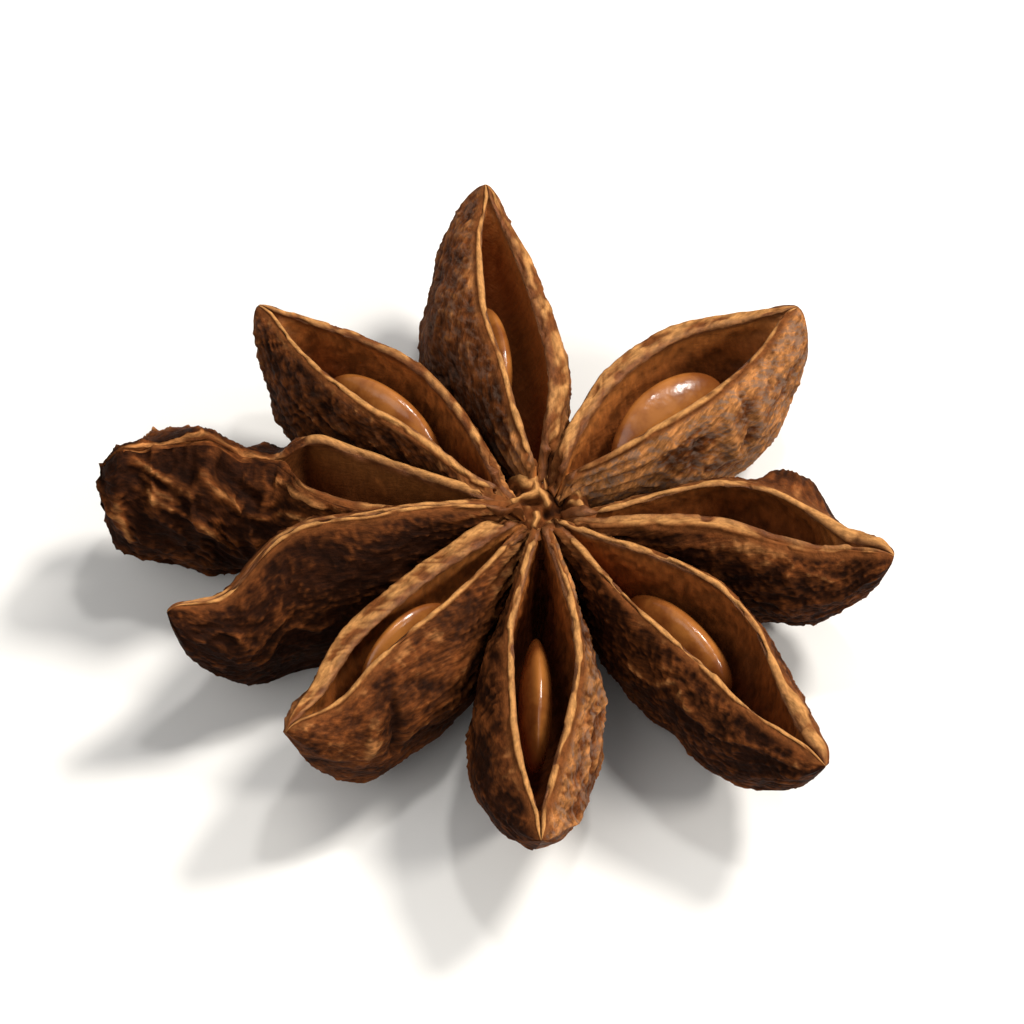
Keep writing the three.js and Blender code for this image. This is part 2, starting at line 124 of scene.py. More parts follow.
# Anticlockwise from above
CARPELS = [
    carpel("carpel_upper_right", 40.2, 16.3, 3.15, 0.58, 1.9, 15, 0.6, 0.9, 0.6, 0.7, 1.0, 0.1, 0.95, 4.8,
           lips=(1.6, 0.5), rise=1.15, starts=(1.9, 1.9), seed=seed_place(0.5, 0.9, 0.3, -25, 1)),
    carpel("carpel_top", 98.0, 17.8, 2.95, 0.5, 1.15, -24, -0.3, 1.0, 0.3, 0.7, 1.0, 0.1, 0.95, 3.6,
           lips=(0.5, 1.5), rise=1.15, swings=((0.35, 0.35, 0.6),), starts=(2.0, 2.6),
           seed=seed_place(0.5, 1.4, -0.1, 0, 0.96, 0.8)),
    carpel("carpel_upper_left", 141.6, 17.3, 3.15, 0.52, 1.72, -17, 0.0, 0.9, 0.4, 0.6, 1.0, 0.12, 0.95, 3.6,
           lips=(0.5, 0.8), offset=1.0, starts=(2.0, 2.6), seed=seed_place(0.53, 0.6, -0.35, 0, 1)),
    carpel("carpel_dried", 175.5, 21.0, 2.9, 0.6, 1.95, -18, -0.2, 0.7, 0, 1.6, 4.8, 0.12, 0.62, 6,
           lips=(0.5, 0.8), rise=1.3, offset=0.5, swings=((-1.2, 0.42, 0.6),), dips=(1.2, 0.0), shrivel=1.0,
           starts=(1.9, 1.7)),
    carpel("carpel_closed", 200.4, 19.0, 2.7, 0.5, 0, -21, -1.05, 2.1, 1.5, 0.5, 2.2, 0.15, 0.9, 4.2,
           lips=(0.4, 0.35), offset=0.5, swings=((-0.8, 0.42, 0.62), (1.15, 0.65, 0.86)),
           room=(-0.4, 0.0), drop=0.8, starts=(1.7, 1.7)),
    carpel("carpel_lower_left", 227.0, 17.8, 2.9, 0.6, 0.65, -17, -0.1, 0.8, 1.0, 0.55, 1.4, 0.12, 0.95, 4.8,
           lips=(0.45, 1.9), rise=1.4, offset=0.3, swings=((0.3, 0.68, 0.85),),
           room=(0.0, 0.4), dips=(0.6, 0.0), starts=(1.6, 1.9),
           seed=seed_place(0.54, 0.2, -0.45, 0, 0.85, 0.8)),
    carpel("carpel_bottom", 270.3, 18.6, 3.15, 0.62, 1.35, 6, 0.1, 0.9, 0.3, 0.5, 0.9, 0.08, 0.94, 3.8,
           lips=(0.6, 0.5), rise=1.35, taper=1.45, swings=((-0.25, 0.5, 0.8),), starts=(1.7, 1.7),
           seed=seed_place(0.52, 1.5, 0.0, 0, 1.02, 0.65)),
    carpel("carpel_lower_right", 313.0, 19.9, 3.2, 0.55, 1.8, 10, 0.75, 1.0, 0.4, 0.55, 0.9, 0.1, 0.94, 3.8,
           lips=(0.5, 0.4), rise=1.45, taper=1.55, offset=-0.6, swings=((-0.45, 0.6, 0.8),),
           flares=(0.85, 0.0), starts=(1.6, 1.2), seed=seed_place(0.47, 1.4, 0.3, 0, 1)),
    carpel("carpel_right", 348.9, 17.2, 3.0, 0.55, 1.05, 10, 1.15, 0.8, 0.8, 0.7, 1.2, 0.12, 0.86, 3.6,
           lips=(0.55, 1.2), rise=1.9, taper=1.0, offset=-1.4, swings=((-0.35, 0.6, 0.84),),
           flares=(0.7, 0.0), lump=1.4, starts=(2.0, 1.8)),
]

ROWS = 270                    # stations along a carpel
EASING = 0.35                 # how much closer they are at its ends
OUTER = 100                   # points of half a section, down the outer wall
CREST = 16                    # over the lip
INNER = 30                    # down the inner wall
HEAD_ROWS = 240               # rows and columns of the column's surface
HEAD_COLUMNS = 240
SEED_ROWS = 90
SEED_COLUMNS = 110
LATTICE = 48                  # cells of the noise before it repeats


# ---- Small functions on whole arrays ----

def smooth(start, end, x):
    t = np.clip((x - start) / (end - start), 0, 1)
    return t * t * (3 - 2 * t)


def hump(t, rise, fall):
    """0 at both ends and 1 at its top, steeper where the power is lower."""
    u = np.clip(t, 0, 1)
    top = rise / (rise + fall)
    return u ** rise * (1 - u) ** fall / (top ** rise * (1 - top) ** fall)


def soft_min(a, b, width):
    return 0.5 * (a + b - np.hypot(a - b, width))


def noise(x, y, z, seed):
    """Smooth noise from 0 to 1: seeded random values on a lattice of unit cells, blended smoothly
    between the eight corners round each point."""
    table = np.random.default_rng(seed).random((LATTICE, LATTICE, LATTICE))
    spot = np.stack(np.broadcast_arrays(x, y, z), -1)
    cell = np.floor(spot).astype(int)
    part = spot - cell
    part = part * part * (3 - 2 * part)
    total = 0
    for corner in np.ndindex(2, 2, 2):
        weight = np.prod(np.where(corner, part, 1 - part), -1)
        i, j, k = np.moveaxis((cell + corner) % LATTICE, -1, 0)
        total = total + weight * table[i, j, k]
    return total


def ridges(x, y, z, seed):
    """Narrow crests, 1 on the line where the noise passes its middle value and 0 away from it."""
    return np.clip(1 - 3.2 * np.abs(noise(x, y, z, seed) - 0.5), 0, 1)


# ---- The shape of a carpel ----

def dried_top(s):
    """The dried carpel's uneven top, eased from knot to knot."""
    height = 0
    for (start, low), (stop, high) in zip(DRIED_TOP, DRIED_TOP[1:]):
        height = height + (high - low) * smooth(start, stop, s)
    return height


def lip_height(c, s):
    x = c["length"] * s
    crater = CRATER_DEPTH * (1 - smooth(0, CRATER_RADIUS, x))
    crown = c["crown"] * hump(s, 1, 1.3) - c["drop"] * hump(s, 5, 1)
    beak = c["beak"] * smooth(BEAK_START, 1, s)
    return RIM_HEIGHT - crater + crown + beak + c["shrivel"] * dried_top(s)


def kept_share(c, s):
    """Share of its depth and width that a carpel keeps: a quarter of an ellipse closes its end."""
    start = BLUFF_START if c["shrivel"] else TIP_ROUNDING
    over = np.clip((s - start) / (1 - start), 0, 1)
    return np.sqrt(np.maximum(0.004, 1 - over * over))


def keel_height(c, s):
    top = lip_height(c, 1.0) - c["end"]
    climb = np.maximum(0, (s - KEEL_REST) / (1 - KEEL_REST)) ** c["bow"]
    return np.where(s < KEEL_REST, KEEL_RISE * (1 - s / KEEL_REST) ** 2, top * climb)


def lip_fall(v):
    return np.maximum(0, 1 - v ** 1.7) ** 0.65


def wall_width(v, at_lip, belly):
    """Half width of a section at v, from 0 at the lip to 1 at the bottom: the lip's half width falls
    away to nothing, and a swell makes the wall belly wide at BELLY_AT."""
    swell = np.maximum(0, belly - lip_fall(BELLY_AT) * at_lip)
    return at_lip * lip_fall(v) + swell * np.sin(math.pi * v ** 0.8)


def lean_angle(c, s):
    return c["roll"] * DEGREE * smooth(LEAN_START, LEAN_FULL, s)


def sway(c, s):
    """How far to its left a carpel's lips lie: an even bend, an offset at the column, and swings."""
    swing = sum(amount * smooth(start, end, s) for amount, start, end in c["swings"]) * smooth(1.1, 0.8, s)
    return c["bend"] * hump(s, 1, 1) + c["offset"] * smooth(OFFSET_START, OFFSET_FULL, s) + swing


def drift(c, x, z):
    """How far to its left a carpel's middle lies at a height, from its sway and its lean."""
    s = np.minimum(x / c["length"], 1)
    return sway(c, s) + (z - lip_height(c, s)) * np.sin(lean_angle(c, s))


def wall_limit(c, following, turn, x, z):
    """How far a wall may reach towards the next carpel: halfway, and fused to it near the column."""
    halfway = x * math.tan(turn / 2 * DEGREE)
    aside = (drift(c, x, z) + drift(following, x, z)) / 2
    fused = FUSED["overlap"] - (FUSED["overlap"] + FUSED["apart"]) * smooth(FUSED["from"], FUSED["to"], x)
    return halfway + fused, aside


def turned(x, y, z, azimuth):
    """Points of a carpel's own frame, x outwards from the column, in the pod's frame."""
    cos, sin = math.cos(azimuth * DEGREE), math.sin(azimuth * DEGREE)
    return np.stack([COLUMN_AT[0] + x * cos - y * sin, COLUMN_AT[1] + x * sin + y * cos, z], -1)


def lean(c, s, across, z):
    """Leans points over with their carpel, about the middle of the lips."""
    angle = lean_angle(c, s)
    top = lip_height(c, s)
    down = z - top
    y = across * np.cos(angle) + down * np.sin(angle) + sway(c, s)
    return c["length"] * s + 0 * y, y, top + down * np.cos(angle) - across * np.sin(angle)


def half_sections(c, s, side):
    """Half of each cross-section, a row for each station: down from keel to lip on the outer wall, half
    an ellipse over the lip, and down the inner wall to the bottom of the hollow. Returns the distance
    from the middle plane, the height, the share of the depth v, and inside from 0 to 1."""
    kept = kept_share(c, s)
    full_depth = lip_height(c, s) - keel_height(c, s)
    which = 0 if side > 0 else 1
    start = c["starts"][which]
    sunk_end = LIP_SINK * smooth(start, start - LIP_SINK_OVER, c["length"] * s)
    sunk_end = sunk_end + c["dips"][which] * hump(s / DIP_END, 1, 1)
    top = lip_height(c, s) - BLUFF_TOP * full_depth * (1 - kept) - sunk_end
    depth = full_depth * kept - sunk_end
    swell = hump(s, BELLY_PEAK * c["full"], BELLY_PEAK * (1 - c["full"]))
    belly = kept * (c["tip"] * s + (c["belly"] - c["tip"] * s) * swell)
    reach = (s - c["opens"]) / (c["shuts"] - c["opens"])
    wander = noise(c["length"] * s / GAP_WANDERS_OVER, side, c["azimuth"], 3) - 0.5
    faint = FAINT_SEAM if c["gap"] == 0 else 1.0
    widest = c["gap"] + GAP_WANDERS * wander * (c["gap"] > 0)
    seam = faint * SUTURE * (1 - SEAM_NARROWS * s ** 8)
    gap = kept * (seam + widest * hump(reach, c["rise"], c["taper"]))
    broad = c["lips"][which]
    flare = c["flares"][which] * smooth(FLARE_START, FLARE_FULL, s)
    lip = kept * (LIP_ENDS + (LIP_WIDTH * broad - LIP_ENDS) * hump(s, 0.5, 0.7) + flare)
    lip = lip * (1 - LIP_NARROWS * s ** 10)
    lip = lip * (1 + LIP_VARIES * (noise(c["length"] * s / LIP_VARIES_OVER, side, c["azimuth"], 4) - 0.5))
    opened = smooth(0, HOLLOW_OPEN, reach) * (1 - smooth(HOLLOW_CLOSE, 1, reach)) * (c["gap"] > 0)
    hollow = kept * (faint * SEAM_DEPTH + opened * np.maximum(0, depth - FLOOR_WALL - SEAM_DEPTH))
    inner = gap + opened * np.maximum(0, belly - WALL - gap)
    sealed = c["shrivel"] * smooth(SEALED_FROM, SEALED_TO, s)
    gap = gap * (1 - sealed)
    inner = np.maximum(gap, inner * (1 - sealed))
    crest = LIP_CREST * kept * np.clip(lip / LIP_WIDTH, 0.3, 1.2) * (1 - sealed)

    down = np.cos(np.linspace(0, 1, OUTER) * math.pi / 2)[None]
    turn = (np.arange(1, CREST) / CREST * math.pi)[None]
    sunk = np.sin(np.linspace(0, 1, INNER) * math.pi / 2)[None]
    y = np.hstack([wall_width(down, gap + lip, belly), gap + lip * (0.5 + 0.5 * np.cos(turn)),
                   wall_width(sunk, gap, inner)])
    z = np.hstack([top - depth * down, top + crest * np.sin(turn), top - hollow * sunk])
    v = np.hstack([down, 0 * turn, sunk]) + 0 * s
    inside = np.hstack([0 * down, turn / math.pi, 0 * sunk + 1]) + 0 * s
    return y, z, v, inside


def broad_waves(c, s, v, side):
    """The solids' own unevenness: crossing waves and the dried carpel's folds."""
    phase = c["azimuth"] * 0.37 + side
    waves = np.sin(17 * s + 5 * v + phase) * np.sin(9 * v - 6 * s + 2 * phase)
    folds = np.sin(24 * s - 7 * v + phase) * smooth(DRIED_START - 0.1, DRIED_START, s)
    return WAVES * waves * smooth(0.1, 0.35, s) + 2 * WAVES * c["shrivel"] * folds


def lump(c, s, v):
    """A lump on the left wall, clear of the lip."""
    off = np.hypot((s - LUMP["s"]) / LUMP["long"], (v - LUMP["v"]) / LUMP["deep"])
    return c["lump"] * np.exp(-off ** 4) * smooth(0, LUMP["clear"], v)


def placed_half(c, s, side):
    """Half of a carpel's base surface in its own frame, and its skin coordinates in millimetres: along,
    down from the lip (negative on the inner wall), and across."""
    y, z, v, inside = half_sections(c, s, side)
    skin = np.where(inside == 0, np.sqrt(hump(v, 1, 1)), 0)
    swollen = (inside == 0) * (side > 0) * lump(c, s, v)
    x, leaned, z_leaned = lean(c, s, side * (y + skin * broad_waves(c, s, v, side) + swollen), z)
    thickness = inside * FUSED["inner"]
    left_half, left_aside = wall_limit(c, c["left"], c["left_turn"], x, z_leaned)
    right_half, right_aside = wall_limit(c, c["right"], c["right_turn"], x, z_leaned)
    left_room, right_room = (extra - thickness for extra in c["room"])
    y_placed = soft_min(leaned, left_half + left_aside + left_room, FUSED["rounding"])
    y_placed = -soft_min(-y_placed, right_half - right_aside + right_room, FUSED["rounding"])
    points = np.stack([x, y_placed, np.maximum(0, z_leaned - FOOT)], -1)
    depth = lip_height(c, s) - z
    along = c["length"] * s + 0 * v
    fall = np.where(inside == 1, -depth - 0.5, np.where(inside > 0, 0, depth))
    return points, np.stack([along, fall, side * y], -1), inside


# ---- The skin ----

# How the left and the right half of each carpel look: how tan the lip is, low on the dried carpel's
# left lip as painted shade; how pale and grey the outer wall is, weathering where positive and painted
# shade where negative; how many millimetres of it are worn beside the lip; and the depth of a groove
# along the lip
HALVES = {
    "carpel_upper_right": ((0.45, 0.3, 0.4, 0.0), (0.4, 1.6, 0.6, 0.0)),
    "carpel_top": ((0.9, 0.5, 0.3, 0.0), (0.4, 0.3, 0.4, 0.0)),
    "carpel_upper_left": ((0.85, 0.3, 0.3, 0.0), (0.15, 0.1, 0.3, 0.0)),
    "carpel_dried": ((0.3, 0.1, 0.3, 0.0), (0.8, 0.1, 0.4, 0.0)),
    "carpel_closed": ((0.5, -0.8, 0.6, 0.0), (0.4, 0.0, 0.4, 0.0)),
    "carpel_lower_left": ((0.5, 0.2, 0.3, 0.0), (0.4, 0.3, 0.5, 0.0)),
    "carpel_bottom": ((0.8, 0.75, 0.6, 0.0), (0.8, -0.1, 0.3, 0.0)),
    "carpel_lower_right": ((0.85, 0.2, 0.3, 0.0), (0.7, -0.2, 0.2, 0.0)),
    "carpel_right": ((0.75, 0.2, 0.3, 0.0), (0.4, -0.3, 0.6, 0.25)),
}

# Where the left and the right lip begin to be tan, from the column's axis: nearer in, they sink into it
LIP_BEGINS = {
    "carpel_upper_right": (2.0, 2.1), "carpel_top": (2.3, 2.8), "carpel_upper_left": (2.2, 3.0),
    "carpel_dried": (2.9, 2.8), "carpel_closed": (2.7, 2.7), "carpel_lower_left": (3.0, 2.6),
    "carpel_bottom": (2.6, 2.5), "carpel_lower_right": (1.5, 2.8), "carpel_right": (2.8, 1.8),
}

# Long ridges and, where the height is negative, creases on single walls: side, then s and millimetres
# down from the lip at both ends, then height and half width in millimetres
SKIN_RIDGES = {
    "carpel_lower_right": [(-1, 0.46, 1.7, 0.66, 1.3, 0.13, 0.2), (-1, 0.66, 1.3, 0.98, 0.35, 0.15, 0.2)],
    "carpel_right": [(-1, 0.14, 0.75, 0.5, 0.9, 0.14, 0.16), (-1, 0.2, 1.3, 0.42, 1.5, 0.12, 0.16),
                     (-1, 0.5, 0.75, 0.9, 0.7, 0.1, 0.18)],
    "carpel_upper_right": [(-1, 0.14, 0.8, 0.4, 1.0, 0.16, 0.16), (-1, 0.16, 1.4, 0.36, 2.0, 0.16, 0.16),
                           (-1, 0.2, 2.1, 0.33, 3.0, 0.14, 0.16), (-1, 0.7, 0.3, 0.675, 1.0, -0.2, 0.25),
                           (-1, 0.675, 1.0, 0.655, 2.5, -0.35, 0.3), (-1, 0.655, 2.5, 0.62, 3.9, -0.35, 0.35),
                           (-1, 0.59, 1.4, 0.57, 3.4, 0.2, 0.3), (-1, 0.48, 1.6, 0.44, 3.2, -0.25, 0.3)],
    "carpel_lower_left": [(1, 0.69, 0.5, 0.72, 1.0, -0.25, 0.25), (1, 0.72, 1.0, 0.75, 1.9, -0.4, 0.3),
                          (1, 0.75, 1.9, 0.77, 3.6, -0.45, 0.35), (1, 0.8, 1.2, 0.84, 3.0, 0.2, 0.3)],
    "carpel_dried": [(1, 0.93, 0.1, 0.86, 0.6, 0.34, 0.2), (1, 0.86, 0.6, 0.79, 1.25, 0.36, 0.2),
                     (1, 0.91, 0.8, 0.82, 1.6, 0.24, 0.16), (1, 0.89, 1.35, 0.83, 1.95, 0.3, 0.2),
                     (1, 0.83, 1.95, 0.77, 2.5, 0.32, 0.2), (1, 0.77, 2.5, 0.7, 3.2, 0.26, 0.2),
                     (1, 0.77, 0.6, 0.74, 1.3, 0.34, 0.18), (1, 0.74, 1.3, 0.69, 1.4, 0.26, 0.18),
                     (1, 0.73, 0.35, 0.65, 0.6, -0.4, 0.25), (1, 0.6, 0.2, 0.55, 0.9, 0.3, 0.18),
                     (1, 0.55, 0.9, 0.49, 1.2, 0.3, 0.2), (1, 0.66, 1.5, 0.52, 2.3, 0.16, 0.15),
                     (1, 0.96, 2.0, 0.93, 4.5, 0.2, 0.25), (-1, 0.9, 0.8, 0.7, 2.6, 0.3, 0.3)],
    "carpel_closed": [(1, 0.95, 1.4, 0.72, 2.4, 0.2, 0.2), (1, 0.8, 3.4, 0.6, 3.9, 0.15, 0.2)],
    "carpel_bottom": [(1, 0.5, 0.5, 0.78, 1.3, 0.2, 0.2), (1, 0.78, 1.3, 0.93, 0.7, 0.18, 0.2),
                      (1, 0.55, 1.6, 0.74, 2.4, 0.16, 0.18), (1, 0.62, 0.8, 0.74, 1.9, -0.2, 0.2)],
}

# How much lighter or darker the hollows of single carpels are: painted light in the top carpel's hollow
# and painted shade in the dried carpel's
HOLLOW_LIGHT = {"carpel_top": 0.5, "carpel_dried": -0.6}

# The skin's patterns: size of a cell across and along its lines in millimetres, and seed
PATTERNS = {
    "warp": (1.5, 1.3, 10), "blotches": (2.4, 2.0, 14), "fibres": (0.36, 1.7, 11), "finer": (0.21, 0.9, 17),
    "crossing": (0.4, 1.1, 12), "folds": (0.95, 3.0, 18), "grain": (0.19, 0.15, 13),
    "hatch": (0.42, 1.3, 15), "hatch_back": (0.42, 1.3, 25), "pores": (0.22, 0.2, 21),
    "crinkle": (0.5, 0.4, 31), "swells": (1.2, 0.8, 20),
    # On the lip, the second size is in turns over it
    "lines": (1.3, 1.0, 16), "ticks": (0.55, 1.0, 19), "nicks": (0.8, 1.0, 29), "streaks": (0.34, 1.0, 28),
    "knots": (0.42, 1.0, 33),
}

# Height of each mark in millimetres
HIGH = {
    "fibres": 0.09, "finer": 0.045, "crossing": 0.04, "crossing_in_blotches": 0.06, "grain": 0.07,
    "fine_middle": 0.10, "folds": 0.10, "folds_middle": 0.04,
    "ribs": 0.11, "fold": 0.34, "crease": 0.06, "crumple_middle": 0.15,
    "lines": 0.1, "ticks": 0.06, "nicks": -0.12, "sunk": -0.45, "knots": 0.35,
    "streaks": -0.05, "edge": 0.08, "hollow": -0.1,
    "hatch": 0.03, "pores": 0.05, "crinkle": 0.08, "swells": 0.06,
}

# How much each mark lightens the skin. On the outer wall raised crests are lighter and creases darker:
# partly wear, partly painted shade in the creases and painted light on the crests
LIGHT = {
    "wall": 0.2, "by_column": 0.45, "fine": 4.0, "folds": 0.35, "grain": 0.5, "paleness_and_shade": 0.45, "beside_lip": 0.5,
    "ribs": 0.5, "crest": 0.5, "dried": -0.65, "fold": 0.4, "crease": 0.25,
    "lip": 0.3, "lines": 1.3, "ticks": 1.5, "nicks": -0.5, "sunk": -0.5, "knots": 1.6, "edge": 0.5,
    "streaks": -0.55, "hatch": 0.3, "pores": 0.6, "crinkle": 0.7,
}

WARP = 0.8                    # how far the wrinkles' lines are bent
FINER_ASIDE = 0.63            # how far the finer wrinkles lie aside of the others
# Ribs beside the lip near the column: their distance, how they spread, and where they end and are
# whole, down the wall and outwards
RIBS = {"apart": 0.58, "spread": 0.09, "down": (2.9, 1.9), "along": (7.0, 3.0)}
# The same for the lighter part of the wall beside the column
COLUMN_GLOW = {"down": (3.0, 0.8), "along": (4.5, 2.0)}
# Shares of its length over which a carpel's fine relief begins, and from which it ends
RELIEF_BEGINS = 0.03
RELIEF_ENDS = 0.93


def patterned(kind, name, across, along, tag):
    """Noise or ridges of the skin's own pattern of that name."""
    wide, long, seed = PATTERNS[name]
    return kind(across / wide, along / long, tag, seed)


def off_segment(x, y, start, end):
    """Distance of points from a straight piece of line."""
    span = np.array(end) - np.array(start)
    share = np.clip(((x - start[0]) * span[0] + (y - start[1]) * span[1]) / (span @ span), 0, 1)
    return np.hypot(x - start[0] - share * span[0], y - start[1] - share * span[1])


def long_ridges(c, x, down, side, wander):
    """The single wall's own ridges, as their height and as 1 along their crests and -1 in creases."""
    height, crest = 0 * x, 0 * x
    for which, s0, down0, s1, down1, high, width in SKIN_RIDGES.get(c["name"], []):
        if which == side:
            off = off_segment(x, down + wander, (s0 * c["length"], down0), (s1 * c["length"], down1))
            line = np.exp(-(off / width) ** 2)
            height = height + high * line * (1 - np.abs(crest))
            crest = np.where(line > np.abs(crest), math.copysign(1, high) * line, crest)
    return height, crest


def outer_wall(x, down, tag):
    """The outer wall's relief: fibrous wrinkles in two crossing slants, finer ones and grain, and
    coarser folds where the skin is blotchy. Returns also how light it is, lighter where raised and darker
    in the creases, partly wear and partly painted shade, and the warp of its lines."""
    warp = WARP * (patterned(noise, "warp", x, down, tag) - 0.5)
    blotch = smooth(0.3, 0.7, patterned(noise, "blotches", x, down, tag))
    slant, along = down * 0.93 + x * 0.36 + warp, x * 0.93 - down * 0.36
    counter, against = down * 0.8 - x * 0.6 - warp, x * 0.8 + down * 0.6
    fibres = patterned(ridges, "fibres", slant, along, tag) ** 2
    finer = patterned(ridges, "finer", slant + FINER_ASIDE, along, tag)
    crossing = patterned(ridges, "crossing", counter, against, tag) ** 2
    folds = patterned(ridges, "folds", slant, along, tag)
    grain = patterned(noise, "grain", x, down, tag)
    fine = (HIGH["fibres"] * fibres + HIGH["finer"] * finer
            + (HIGH["crossing"] + HIGH["crossing_in_blotches"] * blotch) * crossing
            + HIGH["grain"] * grain - HIGH["fine_middle"])
    coarse = HIGH["folds"] * (0.3 + blotch) * folds - HIGH["folds_middle"]
    # Lighter where the relief is raised and darker in its creases: partly wear, partly painted shade and
    # painted light
    light = LIGHT["fine"] * fine + LIGHT["folds"] * (folds - 0.4) + LIGHT["grain"] * (grain - 0.5)
    return fine + coarse, light, warp


def crumpled(points, side):
    """The dried part's deep folds and the creases between them, from 0 to 1: crests that lean over as
    they climb, bent by broad noise, in the carpel's own frame."""
    x, y, z = np.moveaxis(points, -1, 0)
    bent = 0.7 * noise(x / 1.6, y / 1.6, z / 1.6, 26)
    leaning = x - 0.8 * z - 0.35 * y * side
    fold = ridges(leaning / 1.25 + bent, (x + z) / 4.0, y / 3.5, 34)
    crease = ridges(leaning / 0.55 + bent, (x + z) / 2.2, y / 1.7, 27)
    return fold, crease


def lip_surface(c, x, across, which, groove, tag):
    """A lip's relief and how light it is, from its outer edge, across 0, to its inner one: lengthwise
    lines, cross ticks and nicks, and an inner end that sinks, knotty, into the column. A wide lip has a
    raised outer edge, a hollow along its middle and slanting streaks."""
    wide = c["lips"][which]
    turns = across * (1.2 + 2.2 * smooth(0.8, 1.8, wide))
    begins = LIP_BEGINS[c["name"]][which]
    sunk = smooth(begins + 0.3, begins - 0.5, x)
    lines = patterned(noise, "lines", x, turns, tag) - 0.5
    ticks = patterned(noise, "ticks", x, 1.6 * turns + x / 3, tag) - 0.5
    nicks = smooth(0.6, 0.8, patterned(noise, "nicks", x, 0.8 * turns + 4, tag))
    knots = sunk * (patterned(noise, "knots", x, 1.3 * turns + x / 2, tag) - 0.5)
    marks = {
        "lines": lines, "ticks": ticks, "nicks": nicks, "sunk": sunk, "knots": knots,
        "streaks": smooth(1.0, 1.8, wide) * patterned(ridges, "streaks", x + 1.3 * across, 0.8 * turns, tag),
        "edge": smooth(1.0, 1.8, wide) * np.exp(-((across - 0.22) / 0.12) ** 2),
        "hollow": smooth(1.0, 1.8, wide) * np.exp(-((across - 0.55) / 0.2) ** 2),
    }
    relief = sum(HIGH[name] * mark for name, mark in marks.items()) - groove * np.sin(math.pi * across) ** 4
    return relief, sum((LIGHT.get(name, 0) * mark for name, mark in marks.items()), LIGHT["lip"])


def inner_wall(c, x, down, tag):
    """The inner wall's relief and how light it is: two crossing sets of fine fibres, pores and crinkles
    over broad swells, and each hollow's painted light or shade from HOLLOW_LIGHT."""
    hatch = patterned(ridges, "hatch", x + down, x - down, tag)
    hatch = hatch + patterned(ridges, "hatch_back", x - down, x + down, tag)
    pores = patterned(noise, "pores", x, down, tag) - 0.5
    crinkle = patterned(noise, "crinkle", x, down, tag) - 0.5
    swells = patterned(noise, "swells", x, down, tag) - 0.5
    relief = (HIGH["hatch"] * (hatch - 1) + HIGH["pores"] * pores + HIGH["crinkle"] * crinkle
              + HIGH["swells"] * swells)
    light = LIGHT["hatch"] * hatch + LIGHT["pores"] * pores + LIGHT["crinkle"] * crinkle
    # Each hollow's painted light or shade
    return relief, light + HOLLOW_LIGHT.get(c["name"], 0)


def skin_relief(c, points, skin, inside, side):
    """Fine relief in millimetres, outwards, of the outer wall, the lip or the inner wall, by where each
    point lies. The outer wall also has ribs that fan out from the column and the carpel's own single
    ridges, and the dried part is crumpled. Returns also how light it is, wear with painted shade in the
    creases and hollows and painted light on the crests; how dried; and how pale, with painted shade where
    that is negative."""
    x, down = skin[..., 0], skin[..., 1]
    which = 0 if side > 0 else 1
    tag = c["azimuth"] * 0.31 + 5 * side
    tone, paleness_and_shade, soft, groove = HALVES[c["name"]][which]
    dried = c["shrivel"] * smooth(CRUMPLED_FROM, CRUMPLED_TO, x / c["length"])
    wrinkles, outer_light, warp = outer_wall(x, down, tag)
    single, crest = long_ridges(c, x, down, side, 2.0 * warp)
    fold, crease = crumpled(points, side)
    lip, lip_light = lip_surface(c, x, np.clip(inside, 0, 1), which, groove, tag)
    inner, inner_light = inner_wall(c, x, down, tag)

    off_lip = np.maximum(smooth(0.05, 0.5, down), dried)
    ribs = (np.cos(2 * math.pi * (down - RIBS["spread"] * x) / RIBS["apart"])
            * smooth(*RIBS["down"], down) * smooth(*RIBS["along"], x))
    outer = off_lip * wrinkles * (1 + 0.3 * dried) + HIGH["ribs"] * ribs * (1 - dried) + single
    crumple = dried * (HIGH["fold"] * fold ** 2 + HIGH["crease"] * crease - HIGH["crumple_middle"])
    relief = np.where(inside == 0, outer, np.where(inside == 1, inner, lip * (1 - dried)))

    by_column = smooth(*COLUMN_GLOW["along"], x) * smooth(*COLUMN_GLOW["down"], down)
    beside_lip = np.exp(-(down / soft) ** 2) * (1 - dried)
    # The pale term darkens as painted shade where it is negative; crests, ribs and folds are lighter and
    # creases darker, partly painted shade
    outer_light = (LIGHT["wall"] + outer_light + LIGHT["by_column"] * by_column + LIGHT["paleness_and_shade"] * paleness_and_shade
                   + LIGHT["beside_lip"] * beside_lip + LIGHT["ribs"] * np.maximum(0, ribs)
                   + LIGHT["crest"] * (1 + c["shrivel"]) * crest
                   + dried * (LIGHT["dried"] + LIGHT["fold"] * fold ** 3 + LIGHT["crease"] * crease ** 2))
    # How light the skin is: wear, with painted shade in creases and hollows and painted light on crests and
    # in the top carpel's hollow
    wear_and_shade = np.where(inside == 0, outer_light, np.where(inside == 1, inner_light, tone + lip_light))
    return relief + crumple * (inside < 1), wear_and_shade, dried, paleness_and_shade + 0 * wear_and_shade


def surface_normals(points):
    """Unit normals of a grid that is closed round its rows: the cross product of its two slopes."""
    along = np.gradient(points, axis=0)
    around = np.roll(points, -1, 1) - np.roll(points, 1, 1)
    normal = np.cross(around, along)
    return normal / np.maximum(1e-9, np.linalg.norm(normal, axis=-1, keepdims=True))


